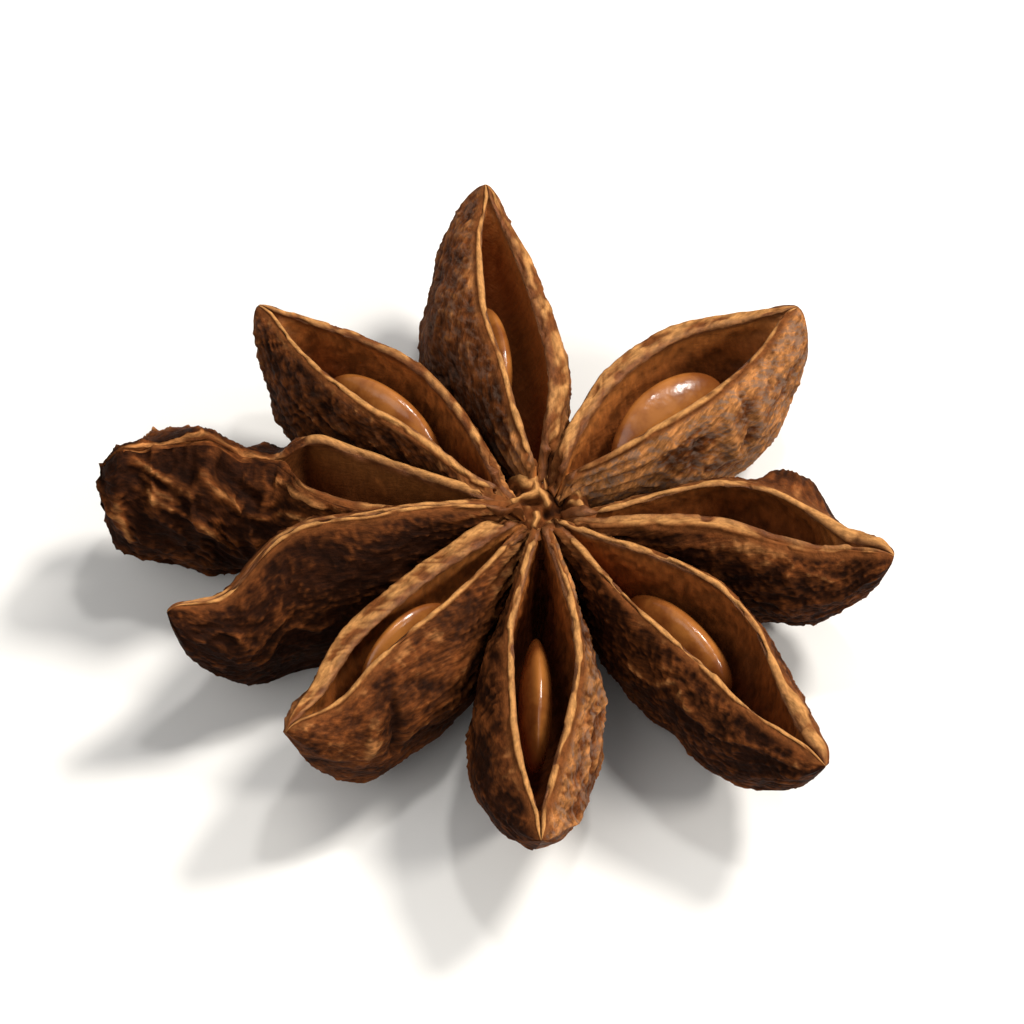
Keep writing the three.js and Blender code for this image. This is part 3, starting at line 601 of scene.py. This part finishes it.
def carpel_surface(c):
    """The whole skin of a carpel as a closed grid of points, with its skin coordinates and masks."""
    t = np.linspace(0, 1, ROWS)[:, None]
    eased = t + EASING * ((1 - np.cos(math.pi * t)) / 2 - t)
    start = FIRST_STATION / c["length"]
    s = start + (1 - start) * eased
    halves = []
    for side in (1, -1):
        points, skin, inside = placed_half(c, s, side)
        relief, wear_and_shade, dried, paleness_and_shade = skin_relief(c, points, skin, inside, side)
        skin[..., 1] += dried * (inside < 1)
        inside = inside * (1 - dried)
        if side < 0:
            points, skin, inside, relief, wear_and_shade, paleness_and_shade = (
                a[:, -2:0:-1] for a in (points, skin, inside, relief, wear_and_shade, paleness_and_shade))
        halves.append((points, skin, inside, relief, wear_and_shade, paleness_and_shade))
    points, skin, inside, relief, wear_and_shade, paleness_and_shade = (np.concatenate(pair, 1) for pair in zip(*halves))
    fade = smooth(0, RELIEF_BEGINS, s - start)
    if not c["shrivel"]:
        fade = fade * smooth(1.0, RELIEF_ENDS, s)
    points = points + surface_normals(points) * (relief * fade)[..., None]
    points[..., 2] = np.maximum(0, points[..., 2])
    points = turned(points[..., 0], points[..., 1], points[..., 2], c["azimuth"])
    return points, {"skin": skin, "inside": inside, "wear_and_shade": wear_and_shade, "paleness_and_shade": paleness_and_shade}


# ---- Meshes ----

def grid_mesh(name, points, attributes, material):
    """A closed piece from a grid of points in millimetres: quads between neighbours, wrapped round each
    row, and a fan of triangles to the middle of the first and of the last row."""
    rows, columns = points.shape[:2]
    i = np.arange(rows - 1)[:, None] * columns
    j = np.arange(columns)[None]
    k = (j + 1) % columns
    quads = np.stack([i + j, i + k, i + columns + k, i + columns + j], -1).reshape(-1, 4)
    ends = [points[0].mean(0), points[-1].mean(0)]
    first = rows * columns
    last_row = (rows - 1) * columns
    ring = np.arange(columns)
    after = (ring + 1) % columns
    fan_in = np.stack([np.full(columns, first), after, ring], -1)
    fan_out = np.stack([np.full(columns, first + 1), last_row + ring, last_row + after], -1)
    vertices = np.vstack([points.reshape(-1, 3), ends]) * MM
    loops = np.concatenate([quads.ravel(), fan_in.ravel(), fan_out.ravel()])
    sizes = np.concatenate([np.full(len(quads), 4), np.full(2 * columns, 3)])
    mesh = bpy.data.meshes.new(name)
    mesh.vertices.add(len(vertices))
    mesh.vertices.foreach_set("co", vertices.ravel().astype(np.float32))
    mesh.loops.add(len(loops))
    mesh.loops.foreach_set("vertex_index", loops.astype(np.int32))
    mesh.polygons.add(len(sizes))
    mesh.polygons.foreach_set("loop_start", (np.cumsum(sizes) - sizes).astype(np.int32))
    mesh.update(calc_edges=True)
    for label, values in attributes.items():
        kind, field = ("FLOAT_VECTOR", "vector") if values.ndim == 3 else ("FLOAT", "value")
        flat = values.reshape(rows * columns, -1)
        flat = np.vstack([flat, flat[:columns].mean(0), flat[-columns:].mean(0)])
        layer = mesh.attributes.new(label, kind, "POINT")
        layer.data.foreach_set(field, flat.ravel().astype(np.float32))
    mesh.polygons.foreach_set("use_smooth", np.ones(len(mesh.polygons), bool))
    mesh.materials.append(material)
    mesh.validate()
    piece = bpy.data.objects.new(name, mesh)
    bpy.context.scene.collection.objects.link(piece)
    return piece


# The column's surface, from the middle of its head to the middle of its stub: radius and height
COLUMN_PATH = [(0, 6.55), (1.4, 6.65), (1.9, 6.6), (2.4, 6.1), (2.5, 5.2), (2.1, 3.2), (1.4, 2.5), (1.0, 1.8),
               (1.15, 1.0), (1.05, 0.6), (0, 0.5)]
HEAD_EDGE = 3                 # the point of that path where the head ends
MOUND = {"x": -0.6, "y": -0.6, "long": 0.75, "wide": 0.6, "high": 0.25}
# Ridges on the head, each a run of points against the column's axis, then height and half width
HEAD_RIDGES = [
    ([(-1.63, 2.6), (-1.39, 2.1), (-0.91, 1.55), (-0.49, 1.38), (-0.13, 1.34)], 0.3825, 0.308),
    ([(-0.13, 1.34), (0.47, 1.97), (1.13, 2.3)], 0.357, 0.28),
    ([(-0.16, 1.34), (-0.16, 0.79)], 0.357, 0.28),
    ([(-0.16, 0.79), (-0.85, 0.62), (-1.33, 0.17)], 0.357, 0.238),
    ([(-0.05, 0.79), (0.5, 0.0)], 0.357, 0.238),
    ([(-2.2, 1.1), (-1.81, 0.38), (-2.1, -0.03)], 0.3825, 0.308),
    ([(-1.81, -0.52), (-1.51, -0.86), (-1.84, -1.17)], 0.34, 0.28),
    ([(-1.33, -1.41), (-1.3, -2.03), (-1.57, -2.4)], 0.34, 0.252),
    ([(-0.16, -0.5), (-0.04, -0.9), (-0.25, -1.15)], 0.255, 0.196),
    ([(0.1, -1.8), (0.05, -2.1)], 0.2975, 0.28),
    ([(0.65, -1.0), (0.95, -1.62), (1.5, -2.3)], 0.425, 0.28),
    ([(1.43, -0.52), (2.2, -1.14)], 0.425, 0.336),
    ([(1.43, 0.79), (2.2, 0.86)], 0.34, 0.28),
    ([(1.54, 1.4), (1.78, 2.0)], 0.357, 0.28),
    ([(-0.9, -1.9), (-0.75, -2.5)], 0.2975, 0.336),
    ([(1.6, 0.2), (2.4, 0.1)], 0.306, 0.308),
]
# Pits between them: x, y, half lengths along x and y, depth
HEAD_PITS = [
    (-1.3, 0.95, 0.45, 0.35, 0.4), (-0.45, 0.3, 0.4, 0.14, 0.35), (0.65, 1.2, 0.28, 0.4, 0.5),
    (0.98, 0.3, 0.3, 0.6, 0.6), (0.2, -0.35, 0.2, 0.25, 0.25), (0.3, 2.1, 0.3, 0.3, 0.3),
    (1.2, -1.3, 0.25, 0.25, 0.25), (-2.0, -1.8, 0.3, 0.3, 0.25),
]


def column_surface():
    """The column's head, sides and broken stalk: COLUMN_PATH turned round its axis. The head has a low
    mound off its middle, pits and wandering ridges that fork. Returns also how tan each point is, with
    the pits darkened as painted shade."""
    path = np.array(COLUMN_PATH)
    length = np.concatenate([[0], np.cumsum(np.hypot(*np.diff(path, axis=0).T))])
    t = np.linspace(0.003, 0.997, HEAD_ROWS) ** 1.2 * length[-1]
    radius = np.interp(t, length, path[:, 0])[:, None]
    height = np.interp(t, length, path[:, 1])[:, None]
    angle = np.linspace(0, 2 * math.pi, HEAD_COLUMNS, endpoint=False)[None]
    x, y = radius * np.cos(angle), radius * np.sin(angle)
    head = smooth(length[HEAD_EDGE] + 0.3, length[HEAD_EDGE - 1], t[:, None])
    off_mound = ((x - MOUND["x"]) / MOUND["long"]) ** 2 + ((y - MOUND["y"]) / MOUND["wide"]) ** 2
    mound = np.exp(-off_mound ** 1.3)
    wander = 0.3 * (noise(x / 0.5, y / 0.5, 0.7, 23) - 0.5)
    ridge, pit = 0 * x, 0 * x
    for spots, high, width in HEAD_RIDGES:
        pieces = zip(spots, spots[1:])
        off = np.minimum.reduce([off_segment(x + wander, y - wander, *ends) for ends in pieces])
        ridge = np.maximum(ridge, high * np.exp(-(off / width) ** 2))
    for at_x, at_y, long_x, long_y, deep in HEAD_PITS:
        pit = np.maximum(pit, deep * np.exp(-((x - at_x) / long_x) ** 2 - ((y - at_y) / long_y) ** 2))
    rough = noise(x / 0.28, y / 0.28, height / 0.35, 22) - 0.5
    broad = noise(x / 0.7, y / 0.7, height / 0.7, 30) - 0.5
    lift = head * (MOUND["high"] * mound - pit + ridge + 0.12 * rough + 0.15 * broad)
    swell = 1 + (1 - head) * 0.08 * rough
    # The pits are darker: painted shade
    tan = np.clip(ridge / 0.36 + 0.3 * mound + 1.0 * rough + 0.6 * broad - 1.2 * pit, -1, 1.4)
    return np.stack([COLUMN_AT[0] + x * swell, COLUMN_AT[1] + y * swell, height + lift], -1), tan * head


def column_masks(points, tan):
    """The skin's masks on the column: its ridges are as tan as the lips, the rest is outer wall."""
    on_ridge = np.clip(tan, 0, 1)
    skin = points.copy()
    skin[..., 1] = 0.3 * (1 - on_ridge)
    return {"skin": skin, "inside": 0.4 * on_ridge, "wear_and_shade": 0.4 + 0.6 * tan, "paleness_and_shade": 0 * tan}


def seed_surface(c):
    """A flattened egg: a sphere stretched to the seed's length, depth and thickness, narrower towards
    its inner end and, where it is thick, towards its edges, with a faint seam round it."""
    place = c["seed"]
    along = np.linspace(0.004, math.pi - 0.004, SEED_ROWS)[:, None]
    around = np.linspace(0, 2 * math.pi, SEED_COLUMNS, endpoint=False)[None]
    u = -np.cos(along) + 0 * around
    v = np.sin(along) * np.cos(around)
    w = np.sin(along) * np.sin(around)
    slim = 1 - SEED["pointed"] * np.maximum(0, -u) ** 2
    edge = 1 - SEED["edged"] * place["thin"] ** 2 * w * w
    seam = 1 + SEED["seam"] * np.exp(-(v / 0.2) ** 2)
    size = place["size"]
    x = size * u * SEED["length"] / 2
    y = size * v * slim * edge * place["thin"] * SEED["thickness"] / 2
    z = size * w * slim * seam * SEED["depth"] / 2
    at = np.array(place["at"])
    middle = lean(c, at, place["aside"], lip_height(c, at) - place["sink"] - SEED["depth"] / 2)
    angle = place["turn"] * DEGREE - float(lean_angle(c, at))
    y_turned = y * math.cos(angle) - z * math.sin(angle)
    z_turned = y * math.sin(angle) + z * math.cos(angle)
    points = turned(x + middle[0], y_turned + middle[1], z_turned + middle[2] - FOOT, c["azimuth"])
    return points, np.stack([u, v, w], -1)


# ---- Materials ----

def node_tree(name):
    material = bpy.data.materials.new(name)
    material.use_nodes = True
    return material, material.node_tree.nodes, material.node_tree.links


def attribute(nodes, name):
    node = nodes.new("ShaderNodeAttribute")
    node.attribute_name = name
    return node


def mix_color(nodes, links, factor, first, second, blend="MIX"):
    """The first and the second mixed. Each of the three is a socket, a colour or a number."""
    node = nodes.new("ShaderNodeMix")
    node.data_type = "RGBA"
    node.blend_type = blend
    for socket, value in ((node.inputs[0], factor), (node.inputs[6], first), (node.inputs[7], second)):
        if isinstance(value, bpy.types.NodeSocket):
            links.new(value, socket)
        elif isinstance(value, tuple):
            socket.default_value = (*value, 1)
        else:
            socket.default_value = value
    return node.outputs[2]


def math_node(nodes, links, operation, *values):
    node = nodes.new("ShaderNodeMath")
    node.operation = operation
    for socket, value in zip(node.inputs, values):
        if isinstance(value, bpy.types.NodeSocket):
            links.new(value, socket)
        else:
            socket.default_value = value
    return node.outputs[0]


def map_range(nodes, links, value, low, high, to_low=0.0, to_high=1.0):
    """A smooth step from to_low, where the value is low, to to_high, where it is high."""
    node = nodes.new("ShaderNodeMapRange")
    node.interpolation_type = "SMOOTHSTEP"
    links.new(value, node.inputs[0])
    for socket, number in zip(node.inputs[1:5], (low, high, to_low, to_high)):
        socket.default_value = number
    return node.outputs[0]


def noise_node(nodes, links, vector, scale, detail=4.0, roughness=0.6):
    node = nodes.new("ShaderNodeTexNoise")
    links.new(vector, node.inputs["Vector"])
    node.inputs["Scale"].default_value = scale
    node.inputs["Detail"].default_value = detail
    node.inputs["Roughness"].default_value = roughness
    return node.outputs["Fac"]


def mottle_group():
    """Shared by the husk and the seed coat: broad clouds and fine grain, both from 0 to 1."""
    group = bpy.data.node_groups.new("mottle", "ShaderNodeTree")
    for label, kind, default in (("Vector", "NodeSocketVector", None), ("Scale", "NodeSocketFloat", 1.0)):
        socket = group.interface.new_socket(name=label, in_out="INPUT", socket_type=kind)
        if default is not None:
            socket.default_value = default
    for label in ("Blotches", "Grain"):
        group.interface.new_socket(name=label, in_out="OUTPUT", socket_type="NodeSocketFloat")
    nodes, links = group.nodes, group.links
    start = nodes.new("NodeGroupInput")
    end = nodes.new("NodeGroupOutput")
    scaled = nodes.new("ShaderNodeVectorMath")
    scaled.operation = "SCALE"
    links.new(start.outputs["Vector"], scaled.inputs[0])
    links.new(start.outputs["Scale"], scaled.inputs["Scale"])
    blotches = noise_node(nodes, links, scaled.outputs[0], 0.55, 3, 0.55)
    grain = noise_node(nodes, links, scaled.outputs[0], 6.0, 5, 0.7)
    links.new(map_range(nodes, links, blotches, 0.3, 0.7), end.inputs["Blotches"])
    links.new(grain, end.inputs["Grain"])
    return group


def use_mottle(nodes, links, group, vector, scale):
    node = nodes.new("ShaderNodeGroup")
    node.node_tree = group
    links.new(vector, node.inputs["Vector"])
    node.inputs["Scale"].default_value = scale
    return node


def stretched(nodes, links, vector, scale, slant):
    """Coordinates scaled along and across the skin, and turned by slant degrees on it."""
    turn = nodes.new("ShaderNodeMapping")
    turn.inputs["Rotation"].default_value = (0, 0, slant * DEGREE)
    links.new(vector, turn.inputs["Vector"])
    mapping = nodes.new("ShaderNodeMapping")
    mapping.inputs["Scale"].default_value = scale
    links.new(turn.outputs["Vector"], mapping.inputs["Vector"])
    return mapping.outputs["Vector"]


def object_millimetres(nodes, links):
    coordinates = nodes.new("ShaderNodeTexCoord")
    mapping = nodes.new("ShaderNodeMapping")
    mapping.inputs["Scale"].default_value = (1000, 1000, 1000)
    links.new(coordinates.outputs["Object"], mapping.inputs["Vector"])
    return mapping.outputs["Vector"]


# Outer wall in its creases (painted shade), between them, on its crests and where it is weathered (wear
# and painted light); lip; inner wall, whose deepest colour is painted shade at the bottom of the hollow
HUSK_DARK = (0.018, 0.0046, 0.0011)
HUSK_MIDDLE = (0.098, 0.0275, 0.0062)
HUSK_WORN_AND_LIT = (0.33, 0.132, 0.040)
HUSK_GREY = (0.145, 0.094, 0.068)
LIP_TAN = (0.41, 0.190, 0.060)
LIP_BROWN = (0.13, 0.040, 0.0100)
# Deepest inner colour: painted shade at the bottom of the hollow
INNER_DEEP = (0.115, 0.029, 0.0065)
INNER_BROWN = (0.235, 0.066, 0.0135)
INNER_RIM = (0.33, 0.111, 0.024)
HUSK_BUMP = {"strength": 0.7, "distance": 0.00015}


def husk_material(mottle):
    """Dry husk: dark and crinkled outside, with painted shade in its creases, crests that are worn and carry
    painted light, and grey flecks; tan along the lips; and satin brown inside, paler towards the lips and
    darker, as painted shade, towards the bottom of the hollow. The skin's own masks tell them apart."""
    material, nodes, links = node_tree("husk")
    shader = nodes["Principled BSDF"]
    skin = attribute(nodes, "skin").outputs["Vector"]
    inside = attribute(nodes, "inside").outputs["Fac"]
    wear_and_shade = attribute(nodes, "wear_and_shade").outputs["Fac"]
    paleness_and_shade = attribute(nodes, "paleness_and_shade").outputs["Fac"]
    speckle = use_mottle(nodes, links, mottle, object_millimetres(nodes, links), 1.0)
    streaks = use_mottle(nodes, links, mottle, stretched(nodes, links, skin, (0.16, 0.8, 0.8), 21), 1.0)
    ticks = use_mottle(nodes, links, mottle, stretched(nodes, links, skin, (0.7, 0.2, 0.2), 0), 1.0)
    lip_flecks = use_mottle(nodes, links, mottle, stretched(nodes, links, skin, (0.3, 0.8, 0.8), 0), 1.0)
    flecks = use_mottle(nodes, links, mottle, stretched(nodes, links, skin, (0.22, 0.5, 0.5), -30), 1.0)

    # Outer wall: darker in the creases and lighter on the crests, partly wear and partly painted shade and
    # light
    # This mask carries wear together with painted shade in the creases and painted light on the crests
    outer = mix_color(nodes, links, map_range(nodes, links, wear_and_shade, -0.1, 0.75), HUSK_DARK, HUSK_MIDDLE)
    outer = mix_color(nodes, links, map_range(nodes, links, wear_and_shade, 0.65, 1.5), outer, HUSK_WORN_AND_LIT)
    streaked = map_range(nodes, links, streaks.outputs["Grain"], 0.35, 0.7, 0.5, 1.45)
    outer = mix_color(nodes, links, 1.0, outer, streaked, "MULTIPLY")
    clouded = map_range(nodes, links, speckle.outputs["Blotches"], 0.0, 1.0, 0.75, 1.2)
    outer = mix_color(nodes, links, 1.0, outer, clouded, "MULTIPLY")
    grey = math_node(nodes, links, "MULTIPLY", map_range(nodes, links, flecks.outputs["Grain"], 0.46, 0.62),
                     map_range(nodes, links, paleness_and_shade, 0.1, 1.0, 0.0, 0.7))
    outer = mix_color(nodes, links, grey, outer, HUSK_GREY)

    # Lip, brown along both edges and tan over its crest
    split = nodes.new("ShaderNodeSeparateXYZ")
    links.new(skin, split.inputs[0])
    depth = split.outputs["Y"]
    lip = mix_color(nodes, links, map_range(nodes, links, wear_and_shade, 0.1, 1.1), LIP_BROWN, LIP_TAN)
    crest = math_node(nodes, links, "MULTIPLY", map_range(nodes, links, inside, 0.08, 0.36),
                      map_range(nodes, links, inside, 0.5, 1.0, 1.0, 0.2))
    lip = mix_color(nodes, links, crest, LIP_BROWN, lip)
    mottled = map_range(nodes, links, lip_flecks.outputs["Grain"], 0.38, 0.62, 0.68, 1.2)
    lip = mix_color(nodes, links, 1.0, lip, mottled, "MULTIPLY")

    # Inner wall, painted shade deepening to the darkest brown at the bottom of the hollow
    inner = mix_color(nodes, links, map_range(nodes, links, depth, -5.5, -2.5), INNER_DEEP, INNER_BROWN)
    inner = mix_color(nodes, links, map_range(nodes, links, depth, -3.0, -0.6), inner, INNER_RIM)
    # Each hollow's painted light or shade, and its raised fibres lighter, come through this mask
    hatched = map_range(nodes, links, wear_and_shade, -0.2, 0.7, 0.6, 1.35)
    inner = mix_color(nodes, links, 1.0, inner, hatched, "MULTIPLY")
    ticked = map_range(nodes, links, ticks.outputs["Grain"], 0.35, 0.65, 0.8, 1.12)
    inner = mix_color(nodes, links, 1.0, inner, ticked, "MULTIPLY")

    # Which of the three a point is, with soft borders
    lip_outer = map_range(nodes, links, depth, 0.0, 0.25, 1.0, 0.0)
    lip_inner = map_range(nodes, links, depth, -1.1, -0.5, 0.0, 1.0)
    is_inner = map_range(nodes, links, inside, 0.8, 1.0)
    lip_mask = mix_color(nodes, links, is_inner, lip_outer, lip_inner)
    color = mix_color(nodes, links, is_inner, outer, inner)
    color = mix_color(nodes, links, lip_mask, color, lip)
    links.new(color, shader.inputs["Base Color"])

    # Dry outside, satin inside
    roughness = map_range(nodes, links, inside, 0.4, 1.0, 0.75, 0.5)
    links.new(roughness, shader.inputs["Roughness"])
    gloss = map_range(nodes, links, inside, 0.4, 1.0, 0.05, 0.2)
    links.new(gloss, shader.inputs["Specular IOR Level"])
    bump = nodes.new("ShaderNodeBump")
    bump.inputs["Strength"].default_value = HUSK_BUMP["strength"]
    bump.inputs["Distance"].default_value = HUSK_BUMP["distance"]
    height = mix_color(nodes, links, 0.6, speckle.outputs["Grain"], streaks.outputs["Grain"])
    links.new(height, bump.inputs["Height"])
    links.new(bump.outputs["Normal"], shader.inputs["Normal"])
    return material


SEED_DEEP = (0.165, 0.046, 0.0095)
SEED_CHESTNUT = (0.34, 0.122, 0.025)
SEED_ROUGHNESS = 0.22
SEED_GLOSS = 0.45
SEED_BUMP = {"strength": 0.25, "distance": 0.0001}


def seed_material(mottle):
    """Hard glossy seed coat, chestnut brown with darker ends and faint clouds."""
    material, nodes, links = node_tree("seed_coat")
    shader = nodes["Principled BSDF"]
    clouds = use_mottle(nodes, links, mottle, object_millimetres(nodes, links), 1.2)
    body = attribute(nodes, "body").outputs["Vector"]
    split = nodes.new("ShaderNodeSeparateXYZ")
    links.new(body, split.inputs[0])
    ends = map_range(nodes, links, math_node(nodes, links, "ABSOLUTE", split.outputs["X"]), 0.6, 1.0)
    color = mix_color(nodes, links, clouds.outputs["Blotches"], SEED_CHESTNUT, SEED_DEEP)
    color = mix_color(nodes, links, ends, color, SEED_DEEP)
    links.new(color, shader.inputs["Base Color"])
    shader.inputs["Roughness"].default_value = SEED_ROUGHNESS
    shader.inputs["Specular IOR Level"].default_value = SEED_GLOSS
    bump = nodes.new("ShaderNodeBump")
    bump.inputs["Strength"].default_value = SEED_BUMP["strength"]
    bump.inputs["Distance"].default_value = SEED_BUMP["distance"]
    links.new(clouds.outputs["Blotches"], bump.inputs["Height"])
    links.new(bump.outputs["Normal"], shader.inputs["Normal"])
    return material


def plain_material(name, color, roughness):
    material, nodes, links = node_tree(name)
    nodes["Principled BSDF"].inputs["Base Color"].default_value = (*color, 1)
    nodes["Principled BSDF"].inputs["Roughness"].default_value = roughness
    return material


# ---- The pod ----

def join_to_frame(piece, node):
    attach(piece, "root")
    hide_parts(node)


for place, c in enumerate(CARPELS):
    c["left"] = CARPELS[(place + 1) % len(CARPELS)]
    c["right"] = CARPELS[place - 1]
    c["left_turn"] = (c["left"]["azimuth"] - c["azimuth"]) % 360
    c["right_turn"] = (c["azimuth"] - c["right"]["azimuth"]) % 360

mottle = mottle_group()
husk = husk_material(mottle)
seed_coat = seed_material(mottle)

for c in CARPELS:
    piece = grid_mesh(c["name"], *carpel_surface(c), husk)
    join_to_frame(piece, "pod")

points, tan = column_surface()
piece = grid_mesh("column", points, column_masks(points, tan), husk)
join_to_frame(piece, "pod")

for number, c in enumerate([c for c in CARPELS if c["seed"]], 1):
    points, body = seed_surface(c)
    piece = grid_mesh(f"seed_coat_{number}", points, {"body": body}, seed_coat)
    join_to_frame(piece, f"seed_{number}")


# ---- Floor, light and camera ----

FLOOR_HALF = 1.5
FLOOR_COLOR = (0.72, 0.71, 0.69)
FLOOR_ROUGHNESS = 0.6


def floor_piece():
    mesh = bpy.data.meshes.new("floor")
    corners = [(x * FLOOR_HALF, y * FLOOR_HALF, 0) for x, y in ((-1, -1), (1, -1), (1, 1), (-1, 1))]
    mesh.from_pydata(corners, [], [(0, 1, 2, 3)])
    mesh.materials.append(plain_material("floor", FLOOR_COLOR, FLOOR_ROUGHNESS))
    floor = bpy.data.objects.new("floor", mesh)
    bpy.context.scene.collection.objects.link(floor)


# Azimuth and elevation in degrees, distance and size in metres, power in watts, and colour
LIGHTS = {
    "key": (35, 50, 0.6, 0.14, 3.7, (1.0, 0.96, 0.90)),
    "side": (-15, 38, 0.6, 0.14, 2.0, (1.0, 0.96, 0.90)),
    "spark": (60, 72, 0.6, 0.06, 0.8, (1.0, 0.98, 0.95)),
    "fill": (215, 55, 0.6, 0.5, 1.0, (1.0, 0.98, 0.95)),
}
SKY_STRENGTH = 0.42


def area_light(name, azimuth, elevation, distance, size, power, color):
    """A round lamp that faces the pod."""
    data = bpy.data.lights.new(name, "AREA")
    data.shape = "DISK"
    data.size = size
    data.energy = power
    data.color = color
    light = bpy.data.objects.new(name, data)
    a, e = azimuth * DEGREE, elevation * DEGREE
    light.location = Vector((math.cos(a) * math.cos(e), math.sin(a) * math.cos(e), math.sin(e))) * distance
    light.rotation_euler = (-light.location).to_track_quat("-Z", "Y").to_euler()
    bpy.context.scene.collection.objects.link(light)


VIEW_ELEVATION = 60 * DEGREE
VIEW_DISTANCE = 0.6
VIEW_WIDTH = 49 * MM
VIEW_TARGET = Vector((0.678, 0.149, 6.8)) * MM


def look_camera():
    data = bpy.data.cameras.new("camera")
    data.sensor_width = 36
    data.lens = data.sensor_width * VIEW_DISTANCE / VIEW_WIDTH
    data.clip_end = 10
    camera = bpy.data.objects.new("camera", data)
    away = Vector((0, -math.cos(VIEW_ELEVATION), math.sin(VIEW_ELEVATION)))
    camera.location = VIEW_TARGET + away * VIEW_DISTANCE
    camera.rotation_euler = (math.pi / 2 - VIEW_ELEVATION, 0, 0)
    bpy.context.scene.collection.objects.link(camera)
    bpy.context.scene.camera = camera


floor_piece()
for name, sizes in LIGHTS.items():
    area_light(name, *sizes)
world = bpy.data.worlds.new("studio")
world.use_nodes = True
sky = world.node_tree.nodes["Background"]
sky.inputs["Color"].default_value = (1, 1, 1, 1)
sky.inputs["Strength"].default_value = SKY_STRENGTH
bpy.context.scene.world = world
look_camera()
bpy.context.scene.view_settings.view_transform = "Standard"
